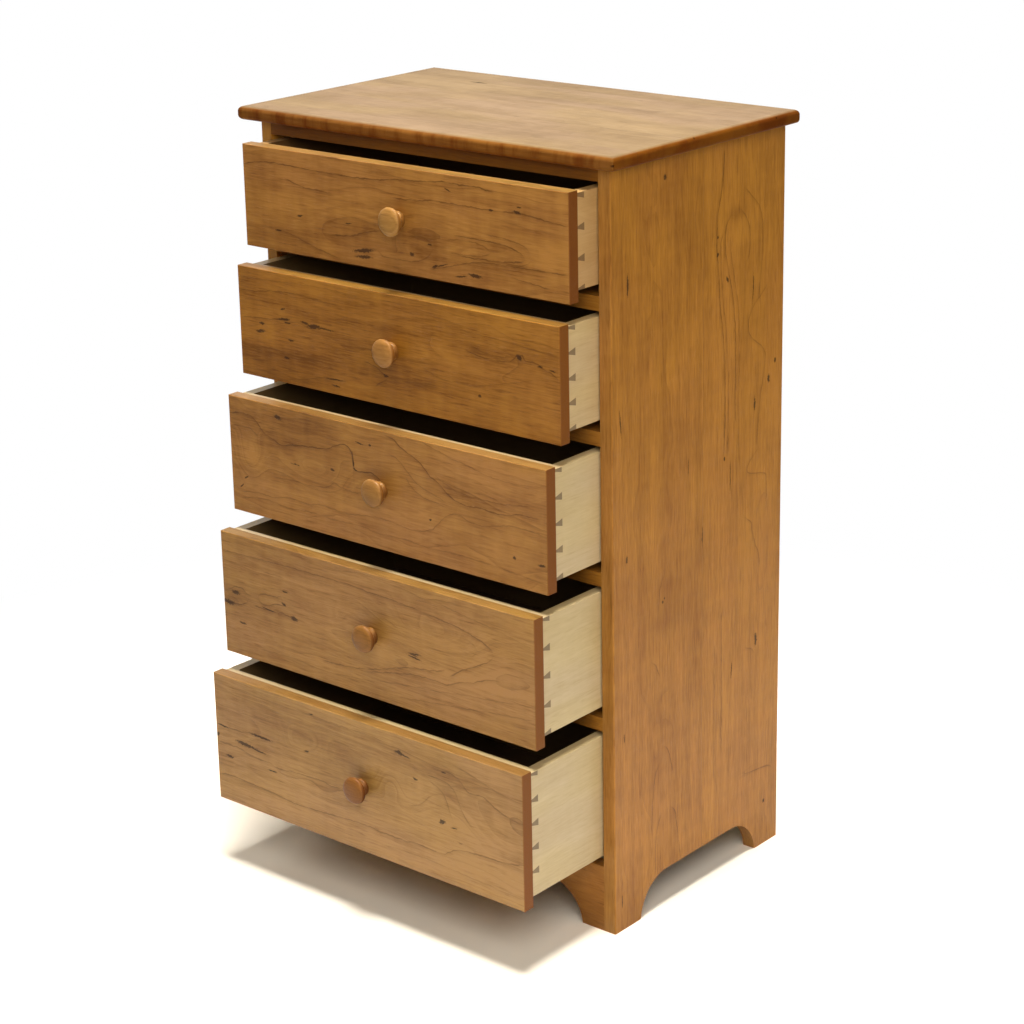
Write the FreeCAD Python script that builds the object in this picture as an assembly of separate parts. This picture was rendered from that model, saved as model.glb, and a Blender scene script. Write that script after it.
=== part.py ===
import FreeCAD, Part
import math
import os

# A tall chest of five drawers with bracket feet, sizes in millimetres.
# X runs to the right as the chest is seen from the front, Y to its back and Z up.
# The origin is on the floor, under the middle of the box round the whole chest as it stands,
# with its drawers drawn out part of the way.

# Case: two solid sides, joined by rails
case_width = 700.0
case_depth = 442.0
side_thickness = 22.0
edge_ease = 1.6
rail_thickness = 22.0
rail_depth = 70.0
apron_height = 110.0
apron_thickness = 22.0
rear_rail_height = 48.0

# Overhanging top, its edges rounded above all round, and below at the front and the sides
top_thickness = 22.0
top_overhang_front = 25.0
top_overhang_side = 25.0
top_edge_radius = 8.0

# Feet: what an arch with a cove at each end leaves of the sides and the apron
foot_width = 65.0
arch_height = 62.0
cove_radius = 68.0

# Back panel in its rabbets
back_thickness = 6.0
rabbet_width = 10.0

# Stub tenons of the rails and the apron, in blind mortises of the sides
tenon_length = 10.0
tenon_thickness = 9.0
tenon_shoulder = 10.0
mortise_end_gap = 0.5

# Corner blocks glued behind the apron and the rear rail
block_size = 20.0
block_top = 98.0
block_lift = 14.0

# Screws: round heads and shanks with flat facets
screw_sides = 12
screw_head_radius = 4.8
screw_head_height = 2.6
screw_radius = 2.2
top_screw_length = 34.0
top_screw_share = 0.36
front_screw_length = 28.0
front_screw_inset = 70.0
front_screw_share = 0.25
knob_screw_length = 50.0

# Drawers, from the top one down
drawer_count = 5
first_opening_height = 168.0
opening_step = 15.0
front_thickness = 20.6
front_ease = 0.8
front_side_gap = 1.5
front_bottom_gap = 1.2
front_top_gap = 4.4
pull_shares = (0.21, 0.285, 0.395, 0.50, 0.605)

# Drawer boxes, dovetailed at all four corners
box_length = 381.0
box_side_thickness = 17.5
box_end_thickness = 17.0
box_side_gap = 3.0
box_bottom_rise = 16.6
box_top_drop = 4.2
bottom_thickness = 6.0
bottom_recess = 13.0
bottom_groove = 7.0

# Dovetail pins: their width at the tip and at the root, and the places of their middles down the
# corner. The pins nearest 0 and 1 are half pins, which take in the edges of the box.
pin_narrow = 3.0
pin_wide = 12.0
pin_place_shares = (
    (0.025, 0.355, 0.677, 0.992),
    (0.013, 0.254, 0.500, 0.735, 0.989),
    (0.013, 0.259, 0.494, 0.733, 0.984),
    (0.013, 0.262, 0.500, 0.747, 0.989),
    (0.010, 0.222, 0.413, 0.608, 0.801),
)

# Turned knob with flat facets: its outline from the drawer's front to the middle of its face, in
# shares of its radius and of its projection
knob_radius = 22.2
knob_projection = 26.0
knob_height_share = 0.505
knob_sides = 24
knob_outline_shares = (
    (0.60, 0.00),
    (0.65, 0.06),
    (0.65, 0.15),
    (0.58, 0.25),
    (0.48, 0.33),
    (0.45, 0.42),
    (0.62, 0.50),
    (0.86, 0.56),
    (0.97, 0.63),
    (1.00, 0.71),
    (0.97, 0.81),
    (0.84, 0.90),
    (0.55, 0.97),
    (0.15, 1.00),
)

# Concealed runners of folded sheet: a rail on the case under a channel on the drawer, with a glide
# at the rail's front end and another at the channel's rear end
sheet = 1.5
runner_setback = 2.0
rail_length = 381.0
rail_floor_gap = 4.0
rail_flange_height = 12.0
rail_width = 18.0
rail_lip_drop = 14.0
channel_width = 26.5
channel_lip = 6.5
channel_lip_gap = 1.2
glide_height = 3.0
glide_length = 22.0
glide_play = 0.3
stop_gap = 3.0

# How far a cutting shape runs past the face that it cuts
overrun = 5.0

# Places that follow from the sizes above
inner_x = case_width / 2 - side_thickness
opening_heights = [first_opening_height + opening_step * i for i in range(drawer_count)]
side_height = apron_height + sum(opening_heights) + rail_thickness * drawer_count
box_start = front_thickness
box_end = box_start + box_length
rail_start = box_start + box_end_thickness + runner_setback
travel = (box_end - glide_length) - (rail_start + glide_length) - stop_gap
pulls = [share * travel for share in pull_shares]
front_reach = max(max(pulls) + knob_projection, top_overhang_front)
front_y = (front_reach - case_depth) / 2
back_y = front_y + case_depth
panel_y = back_y - back_thickness


def vec(x, y, z):
    return FreeCAD.Vector(x, y, z)


def block(x_span, y_span, z_span):
    # A box between two places along each axis
    low, high = zip(x_span, y_span, z_span)
    return Part.makeBox(high[0] - low[0], high[1] - low[1], high[2] - low[2], vec(*low))


def prism(points, direction):
    return Part.Face(Part.makePolygon(points + points[:1])).extrude(direction)


def mirrored(shape):
    # The same shape on the other side of the chest
    return shape.mirror(vec(0, 0, 0), vec(1, 0, 0))


def moved(shape, y):
    copy = shape.copy()
    copy.translate(vec(0, y, 0))
    return copy


def turned(outline, sides, start, axis):
    # A turned solid with flat facets: outline gives (radius, distance along the axis) from end to end
    across = vec(axis.y, axis.z, axis.x)
    up = axis.cross(across)
    angles = [2 * math.pi * k / sides for k in range(sides)]
    spokes = [across * math.cos(angle) + up * math.sin(angle) for angle in angles]
    rings = [[start + axis * along + spoke * radius for spoke in spokes] for radius, along in outline]
    faces = [Part.Face(Part.makePolygon(ring + ring[:1])) for ring in (rings[0], rings[-1])]
    for near, far in zip(rings, rings[1:]):
        for k in range(sides):
            corners = [near[k - 1], near[k], far[k], far[k - 1], near[k - 1]]
            faces.append(Part.Face(Part.makePolygon(corners)))
    solid = Part.makeSolid(Part.makeShell(faces))
    if solid.Volume < 0:
        solid.reverse()
    return solid


def screw(seat, axis, length):
    # The head lies on the face at seat, and the shank runs along axis
    outline = [
        (screw_head_radius, -screw_head_height),
        (screw_head_radius, 0),
        (screw_radius, 0),
        (screw_radius, length),
    ]
    return turned(outline, screw_sides, seat, axis)


def screw_hole(seat, axis, length):
    return turned([(screw_radius, 0), (screw_radius, length)], screw_sides, seat, axis)


def opening_floors():
    # Height of the bottom edge of each drawer's opening, from the top one down
    floors = []
    level = side_height - rail_thickness
    for height in opening_heights:
        floors.append(level - height)
        level -= height + rail_thickness
    return floors


def arch(start, end, place, direction):
    # Cutter for the arch between two feet: two coves that meet a level top.
    # place(u, z) turns a place along the board and a height into a point.
    sink = cove_radius - arch_height
    run = math.sqrt(cove_radius ** 2 - sink ** 2)
    middle = (math.atan2(sink, run) + math.pi / 2) / 2
    across = cove_radius * math.cos(middle)
    up = cove_radius * math.sin(middle) - sink
    left = start + foot_width
    right = end - foot_width
    edges = [
        Part.LineSegment(place(right, -overrun), place(left, -overrun)),
        Part.LineSegment(place(left, -overrun), place(left, 0)),
        Part.Arc(place(left, 0), place(left + run - across, up), place(left + run, arch_height)),
        Part.LineSegment(place(left + run, arch_height), place(right - run, arch_height)),
        Part.Arc(place(right - run, arch_height), place(right - run + across, up), place(right, 0)),
        Part.LineSegment(place(right, 0), place(right, -overrun)),
    ]
    return Part.Face(Part.Wire([edge.toShape() for edge in edges])).extrude(direction)


def cross_boards():
    # Each board between the sides, with its spans in Y and Z, then its tenons' spans in Y and Z
    level_boards = {
        f"divider_{i + 1}": (front_y, floor - rail_thickness)
        for i, floor in enumerate(opening_floors()[:-1])
    }
    level_boards["top_front_rail"] = (front_y, side_height - rail_thickness)
    level_boards["top_rear_rail"] = (panel_y - rail_depth, side_height - rail_thickness)
    boards = {}
    for name, (start_y, bottom) in level_boards.items():
        tenon_bottom = bottom + (rail_thickness - tenon_thickness) / 2
        boards[name] = (
            (start_y, start_y + rail_depth),
            (bottom, bottom + rail_thickness),
            (start_y + tenon_shoulder, start_y + rail_depth - tenon_shoulder),
            (tenon_bottom, tenon_bottom + tenon_thickness),
        )
    upright_boards = {
        "front_apron": (front_y, 0, apron_height),
        "rear_bottom_rail": (panel_y - apron_thickness, arch_height, arch_height + rear_rail_height),
    }
    for name, (start_y, bottom, top) in upright_boards.items():
        tenon_start = start_y + (apron_thickness - tenon_thickness) / 2
        boards[name] = (
            (start_y, start_y + apron_thickness),
            (bottom, top),
            (tenon_start, tenon_start + tenon_thickness),
            (max(bottom, arch_height) + tenon_shoulder, top - tenon_shoulder),
        )
    return boards


def top_screw_seats():
    # Seat of each screw that holds the top, on the underside of a top rail
    rows = (front_y + rail_depth / 2, panel_y - rail_depth / 2)
    columns = (-2 * inner_x * top_screw_share, 2 * inner_x * top_screw_share)
    return [vec(x, y, side_height - rail_thickness) for x in columns for y in rows]


def make_side():
    # The right side: eased outer edges, arch at the foot, rabbet for the back, mortises
    outer_x = case_width / 2
    side = block((inner_x, outer_x), (front_y, back_y), (0, side_height))
    uprights = [edge for edge in side.Edges if edge.BoundBox.ZLength > case_depth]
    side = side.makeChamfer(edge_ease, [edge for edge in uprights if edge.BoundBox.XMax > outer_x - edge_ease])
    side = side.cut(
        arch(
            front_y,
            back_y,
            lambda y, z: vec(inner_x - overrun, y, z),
            vec(side_thickness + 2 * overrun, 0, 0),
        )
    )
    rabbet = block(
        (inner_x - overrun, inner_x + rabbet_width),
        (panel_y, back_y + overrun),
        (arch_height, side_height + overrun),
    )
    side = side.cut(rabbet)
    mortise_x = (inner_x - overrun, inner_x + tenon_length + mortise_end_gap)
    for y_span, z_span, tenon_y, tenon_z in cross_boards().values():
        side = side.cut(block(mortise_x, tenon_y, tenon_z))
    return side


def make_cross_boards():
    # Every board between the sides, with its two tenons
    reach = inner_x + tenon_length
    nodes = {}
    for name, (y_span, z_span, tenon_y, tenon_z) in cross_boards().items():
        board = block((-inner_x, inner_x), y_span, z_span)
        nodes[name] = board.fuse(block((-reach, reach), tenon_y, tenon_z)).removeSplitter()
    nodes["front_apron"] = nodes["front_apron"].cut(
        arch(
            -case_width / 2,
            case_width / 2,
            lambda x, z: vec(x, front_y - overrun, z),
            vec(0, apron_thickness + 2 * overrun, 0),
        )
    )
    holes = [screw_hole(seat, vec(0, 0, 1), top_screw_length) for seat in top_screw_seats()]
    for name in ("top_front_rail", "top_rear_rail"):
        nodes[name] = nodes[name].cut(holes)
    return nodes


def make_top():
    # The rounded edges meet in mitres at the corners, and only the lower back edge is square
    half = case_width / 2 + top_overhang_side
    top = block((-half, half), (front_y - top_overhang_front, back_y), (side_height, side_height + top_thickness))
    level_edges = [edge for edge in top.Edges if edge.BoundBox.ZLength < top_thickness / 2]
    upper = side_height + top_thickness / 2
    rounded = [edge for edge in level_edges if edge.BoundBox.YMin < panel_y or edge.BoundBox.ZMin > upper]
    top = top.makeFillet(top_edge_radius, rounded)
    return top.cut([screw_hole(seat, vec(0, 0, 1), top_screw_length) for seat in top_screw_seats()])


def make_glue_blocks():
    # A block in each lower corner, against the side and the board before or behind it
    x_span = (inner_x - block_size, inner_x)
    front_start = front_y + apron_thickness
    rear_end = panel_y - apron_thickness
    front = block(x_span, (front_start, front_start + block_size), (block_lift, block_top))
    rear = block(x_span, (rear_end - block_size, rear_end), (arch_height, block_top))
    return both_sides([front, rear])


def both_sides(solids):
    return Part.makeCompound(solids + [mirrored(solid) for solid in solids])


def folded_sheet(outline, start_y, length):
    # A strip folded at right angles, with its sheet to the left of the outline's way (s, z).
    # s is the distance from the case side's inner face, on the right side of the chest.
    steps = [(after[0] - before[0], after[1] - before[1]) for before, after in zip(outline, outline[1:])]
    normals = [(-dz / math.hypot(ds, dz), ds / math.hypot(ds, dz)) for ds, dz in steps]
    inside = []
    for i, (s, z) in enumerate(outline):
        near = {normals[max(i - 1, 0)], normals[min(i, len(normals) - 1)]}
        inside.append((s + sheet * sum(n[0] for n in near), z + sheet * sum(n[1] for n in near)))
    points = [vec(inner_x - s, start_y, z) for s, z in outline + inside[::-1]]
    return prism(points, vec(0, length, 0))


def runner_section():
    # What a runner's two halves share: distances from the case side, heights above the opening's floor
    channel_s = box_side_gap + box_side_thickness
    channel_top = front_bottom_gap + box_bottom_rise + bottom_recess
    rail_s = channel_s + (channel_width - rail_width) / 2
    rail_top = channel_top - sheet - glide_height
    return channel_s, channel_top, rail_s, rail_top


def make_case_runner(floor):
    # Flange on the case side, web, upright, and a flat top whose free edge turns down
    channel_s, channel_top, rail_s, rail_top = runner_section()
    base = floor + rail_floor_gap
    top = floor + rail_top
    far_s = rail_s + rail_width
    outline = [
        (0, base + rail_flange_height),
        (0, base),
        (rail_s + sheet, base),
        (rail_s + sheet, top - sheet),
        (far_s - sheet, top - sheet),
        (far_s - sheet, top - rail_lip_drop),
    ]
    start_y = front_y + rail_start
    rail = folded_sheet(outline, start_y, rail_length)
    gap = sheet + glide_play
    glide_x = (inner_x - channel_s - channel_width + gap, inner_x - channel_s - gap)
    glide = block(glide_x, (start_y, start_y + glide_length), (top, top + glide_height - glide_play))
    return [rail, glide]


def make_drawer_runner(floor):
    # Channel under the drawer's bottom, with a lip under the rail's free edge
    channel_s, channel_top, rail_s, rail_top = runner_section()
    top = floor + channel_top
    far_s = channel_s + channel_width
    lip_z = floor + rail_top - rail_lip_drop - channel_lip_gap - sheet
    outline = [
        (far_s - channel_lip, lip_z),
        (far_s, lip_z),
        (far_s, top),
        (channel_s, top),
        (channel_s, floor + rail_top - glide_height),
    ]
    start_y = front_y + box_start + box_end_thickness
    channel = folded_sheet(outline, start_y, box_length - box_end_thickness)
    glide_x = (inner_x - far_s + sheet, inner_x - channel_s - sheet)
    end_y = front_y + box_end
    glide = block(glide_x, (end_y - glide_length, end_y), (floor + rail_top + glide_play, top - sheet))
    return [channel, glide]


def corner_pins(z_span, shares, tip_y, root_y):
    # The pins of a right-hand corner, from the tip's side of the end board to its root's side,
    # through the thickness of the box side
    x_span = (inner_x - box_side_gap - box_side_thickness, inner_x - box_side_gap)
    pins = []
    for share in shares:
        middle = z_span[1] - share * (z_span[1] - z_span[0])
        bottom = [middle - pin_narrow / 2, middle - pin_wide / 2]
        top = [middle + pin_narrow / 2, middle + pin_wide / 2]
        if bottom[1] < z_span[0]:
            bottom = [z_span[0], z_span[0]]
        if top[1] > z_span[1]:
            top = [z_span[1], z_span[1]]
        outline = [
            vec(x_span[0], tip_y, bottom[0]),
            vec(x_span[0], tip_y, top[0]),
            vec(x_span[0], root_y, top[1]),
            vec(x_span[0], root_y, bottom[1]),
        ]
        pins.append(prism(outline, vec(box_side_thickness, 0, 0)))
    corner = block(x_span, sorted((tip_y, root_y)), z_span)
    return corner.common(Part.makeCompound(pins))


def make_box(z_span, shares):
    # The five boards of a drawer's box, its bottom in grooves of the front and the sides
    outer = inner_x - box_side_gap
    inner = outer - box_side_thickness
    start = front_y + box_start
    end = front_y + box_end
    front_y_span = (start, start + box_end_thickness)
    back_y_span = (end - box_end_thickness, end)
    panel_z = (z_span[0] + bottom_recess, z_span[0] + bottom_recess + bottom_thickness)
    back_z = (panel_z[1], z_span[1])
    panel = block((-inner - bottom_groove, inner + bottom_groove), (front_y_span[1] - bottom_groove, end), panel_z)
    front_pins = corner_pins(z_span, shares, front_y_span[0], front_y_span[1])
    back_pins = corner_pins(back_z, shares, back_y_span[1], back_y_span[0])
    front = block((-inner, inner), front_y_span, z_span).fuse([front_pins, mirrored(front_pins)])
    back = block((-inner, inner), back_y_span, back_z).fuse([back_pins, mirrored(back_pins)])
    right = block((inner, outer), (start, end), z_span).cut([front_pins, back_pins, panel])
    return {
        "box_front": front.removeSplitter().cut(panel),
        "box_left": mirrored(right),
        "box_right": right,
        "box_back": back.removeSplitter(),
        "bottom": panel,
    }


def make_drawer(index, floor):
    # All the pieces of one drawer, made shut and then drawn out
    front_z = (floor + front_bottom_gap, floor + opening_heights[index] - front_top_gap)
    front_height = front_z[1] - front_z[0]
    box_z = (front_z[0] + box_bottom_rise, front_z[1] - box_top_drop)
    pieces = make_box(box_z, pin_place_shares[index])

    # Front board, its face flush with the case when the drawer is shut
    half = inner_x - front_side_gap
    front = block((-half, half), (front_y, front_y + front_thickness), front_z)
    rim = [edge for edge in front.Edges if edge.BoundBox.YMax < front_y + front_thickness / 2]
    front = front.makeChamfer(front_ease, rim)

    # Screws from inside the box: one into the knob, four into the front board
    knob_z = front_z[0] + front_height * knob_height_share
    seat_y = front_y + box_start + box_end_thickness
    inner_floor = box_z[0] + bottom_recess + bottom_thickness
    row_inset = front_screw_share * (box_z[1] - inner_floor)
    column = inner_x - front_screw_inset
    rows = (inner_floor + row_inset, box_z[1] - row_inset)
    out = vec(0, -1, 0)
    knob_seat = vec(0, seat_y, knob_z)
    seats = [vec(x, seat_y, z) for x in (-column, column) for z in rows]
    knob_hole = screw_hole(knob_seat, out, knob_screw_length)
    holes = [screw_hole(seat, out, front_screw_length) for seat in seats] + [knob_hole]
    screws = [screw(seat, out, front_screw_length) for seat in seats]
    screws.append(screw(knob_seat, out, knob_screw_length))
    outline = [(radius * knob_radius, along * knob_projection) for radius, along in knob_outline_shares]

    pieces["front"] = front.cut(holes)
    pieces["box_front"] = pieces["box_front"].cut(holes)
    pieces["knob"] = turned(outline, knob_sides, vec(0, front_y, knob_z), out).cut(knob_hole)
    pieces["runners"] = both_sides(make_drawer_runner(floor))
    pieces["screws"] = Part.makeCompound(screws)
    return {f"drawer_{index + 1}_{name}": moved(piece, -pulls[index]) for name, piece in pieces.items()}


def make_case():
    side = make_side()
    nodes = {"right_side": side, "left_side": mirrored(side), "top": make_top()}
    nodes.update(make_cross_boards())
    reach = inner_x + rabbet_width
    nodes["back_panel"] = block((-reach, reach), (panel_y, back_y), (arch_height, side_height))
    nodes["glue_blocks"] = make_glue_blocks()
    nodes["case_runners"] = both_sides([solid for floor in opening_floors() for solid in make_case_runner(floor)])
    screws = [screw(seat, vec(0, 0, 1), top_screw_length) for seat in top_screw_seats()]
    nodes["top_screws"] = Part.makeCompound(screws)
    return nodes


def main():
    os.makedirs("parts", exist_ok=True)
    nodes = make_case()
    for index, floor in enumerate(opening_floors()):
        nodes.update(make_drawer(index, floor))
    for name, shape in nodes.items():
        shape.exportStep(f"parts/{name}.step")
        print(name, len(shape.Solids), "solids", round(shape.Volume), "mm3", "valid" if shape.isValid() else "INVALID")
    print(len(nodes), "nodes, case front at y", front_y, "travel", travel, "pulls", [round(pull, 3) for pull in pulls])


main()
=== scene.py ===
import bmesh
import bpy
import math
from mathutils import Matrix, Vector


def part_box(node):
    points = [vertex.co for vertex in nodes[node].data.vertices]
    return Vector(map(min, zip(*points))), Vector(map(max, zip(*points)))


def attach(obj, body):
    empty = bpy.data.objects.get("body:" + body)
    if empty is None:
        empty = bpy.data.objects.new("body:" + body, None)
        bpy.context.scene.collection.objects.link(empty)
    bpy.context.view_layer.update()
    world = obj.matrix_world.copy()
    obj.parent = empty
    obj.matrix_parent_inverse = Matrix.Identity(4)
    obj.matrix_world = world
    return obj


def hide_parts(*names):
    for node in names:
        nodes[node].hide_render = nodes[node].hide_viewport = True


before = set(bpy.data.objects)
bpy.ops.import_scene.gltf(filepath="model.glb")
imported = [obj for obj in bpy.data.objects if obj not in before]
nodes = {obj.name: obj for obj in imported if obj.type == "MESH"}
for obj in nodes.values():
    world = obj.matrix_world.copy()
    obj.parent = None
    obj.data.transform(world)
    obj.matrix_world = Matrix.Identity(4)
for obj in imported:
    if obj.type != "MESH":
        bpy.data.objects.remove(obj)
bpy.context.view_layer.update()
print("frame loaded:", len(nodes), "nodes")


# Shader helpers

def addNode(tree, kind, inputs=None, **settings):
    # A node with its settings and its inputs, each a value or another node's output
    node = tree.nodes.new(kind)
    for key, value in settings.items():
        setattr(node, key, value)
    for key, value in (inputs or {}).items():
        connect(tree, value, node.inputs[key])
    return node


def connect(tree, value, socket):
    if isinstance(value, bpy.types.NodeSocket):
        tree.links.new(value, socket)
    else:
        socket.default_value = value


def calc(tree, operation, *values, clamp=False):
    inputs = {index: value for index, value in enumerate(values)}
    return addNode(tree, "ShaderNodeMath", inputs, operation=operation, use_clamp=clamp).outputs[0]


def plus(tree, first, second):
    return calc(tree, "ADD", first, second)


def minus(tree, first, second):
    return calc(tree, "SUBTRACT", first, second)


def times(tree, first, second):
    return calc(tree, "MULTIPLY", first, second)


def timesPlus(tree, first, second, third, clamp=False):
    return calc(tree, "MULTIPLY_ADD", first, second, third, clamp=clamp)


def vectorCalc(tree, operation, *values, **named):
    inputs = {index: value for index, value in enumerate(values)}
    inputs.update({key.title(): value for key, value in named.items()})
    return addNode(tree, "ShaderNodeVectorMath", inputs, operation=operation).outputs[0]


def split(tree, vector):
    return addNode(tree, "ShaderNodeSeparateXYZ", {0: vector}).outputs


# How often each pattern changes in a metre: along the grain, across the face and through the board
waves = {
    "slowWander": (2.6, 7.0, 7.0), "middlingWander": (9.0, 19.0, 19.0), "quickWander": (42.0, 80.0, 80.0),
    "ringPresence": (11.0, 26.0, 26.0), "fibre": (40.0, 620.0, 620.0), "thread": (12.0, 240.0, 240.0),
    "wideStreak": (1.6, 70.0, 70.0), "dash": (28.0, 330.0, 330.0), "shimmer": (48.0, 13.0, 13.0),
    "cloud": (7.0, 17.0, 17.0), "pore": (55.0, 1300.0, 1300.0), "fleckCells": (12.0, 85.0, 85.0),
    "blush": (3.7, 10.0, 10.0), "gumBend": (170.0, 170.0, 0.0), "gumEdge": (420.0, 420.0, 0.0),
    "lineJitter": (95.0, 95.0, 0.0), "lineWidth": (38.0, 38.0, 0.0), "edgeMottle": (34.0, 9.0, 9.0),
    "zincPatches": (60.0, 60.0, 60.0), "rollingLines": (900.0, 8.0, 900.0),
    "ringBands": (9.0, 2.6, 1.0),  # along the grain, from ring to ring, and none from board to board
}


def stretch(tree, vector, pattern):
    # The place in waves of a pattern
    return vectorCalc(tree, "MULTIPLY", vector, waves[pattern])


def noise(tree, vector, pattern, detail=2.0, roughness=0.5):
    waving = stretch(tree, vector, pattern)
    inputs = {"Vector": waving, "Scale": 1.0, "Detail": detail, "Roughness": roughness}
    return addNode(tree, "ShaderNodeTexNoise", inputs).outputs["Fac"]


def swing(tree, vector, pattern, detail=2.0):
    # Noise that swings to both sides of zero
    return minus(tree, noise(tree, vector, pattern, detail), 0.5)


def chance(tree, number):
    # A fixed random value for each whole number
    return addNode(tree, "ShaderNodeTexWhiteNoise", {"W": number}, noise_dimensions="1D").outputs["Value"]


def remap(tree, value, low, high, start=0.0, end=1.0, kind="SMOOTHSTEP"):
    inputs = {"Value": value, "From Min": low, "From Max": high, "To Min": start, "To Max": end}
    return addNode(tree, "ShaderNodeMapRange", inputs, interpolation_type=kind).outputs["Result"]


def mixColor(tree, factor, first, second, mode="MIX"):
    node = addNode(tree, "ShaderNodeMix", data_type="RGBA", blend_type=mode)
    connect(tree, factor, node.inputs["Factor"])
    connect(tree, first, node.inputs[6])
    connect(tree, second, node.inputs[7])
    return node.outputs[2]


valueSocket, colorSocket, vectorSocket = "NodeSocketFloat", "NodeSocketColor", "NodeSocketVector"


def newGroup(name, inputs, outputs):
    # A node group with its named sockets. An input's default says its kind: a number for a value,
    # four numbers for a colour, None for a vector.
    tree = bpy.data.node_groups.new(name, "ShaderNodeTree")
    for label, default in inputs.items():
        kind = colorSocket if isinstance(default, tuple) else valueSocket
        if default is None:
            kind = vectorSocket
        socket = tree.interface.new_socket(label, in_out="INPUT", socket_type=kind)
        if default is not None:
            socket.default_value = default
    for label, kind in outputs.items():
        tree.interface.new_socket(label, in_out="OUTPUT", socket_type=kind)
    start = tree.nodes.new("NodeGroupInput").outputs
    end = tree.nodes.new("NodeGroupOutput").inputs
    return tree, start, end


def newMaterial(name):
    # A material with its tree and its Principled node
    material = bpy.data.materials.new(name)
    material.use_nodes = True
    return material, material.node_tree, material.node_tree.nodes["Principled BSDF"]


def addObject(name, data):
    obj = bpy.data.objects.new(name, data)
    bpy.context.scene.collection.objects.link(obj)
    return obj


# How much each pattern adds, and the sizes in metres of what lies between the boards of a panel
amounts = {
    "slowWander": 3.0, "middlingWander": 1.1, "quickWander": 0.1, "ringBody": 0.22, "ringBand": 0.9,
    "ringLine": 0.6, "fibre": 1.1, "thread": 0.8, "dash": 0.45, "cloud": 1.5, "shimmer": 0.65, "pore": 0.1,
    "baseTone": 0.26, "boardTone": 0.3, "glueLine": 0.25, "gum": 0.88,
}
pithSpread = 0.09
glueStart, glueFull = 0.0007, 0.0002
boardOffset = (1.31, 0.77, 0.53)


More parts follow.
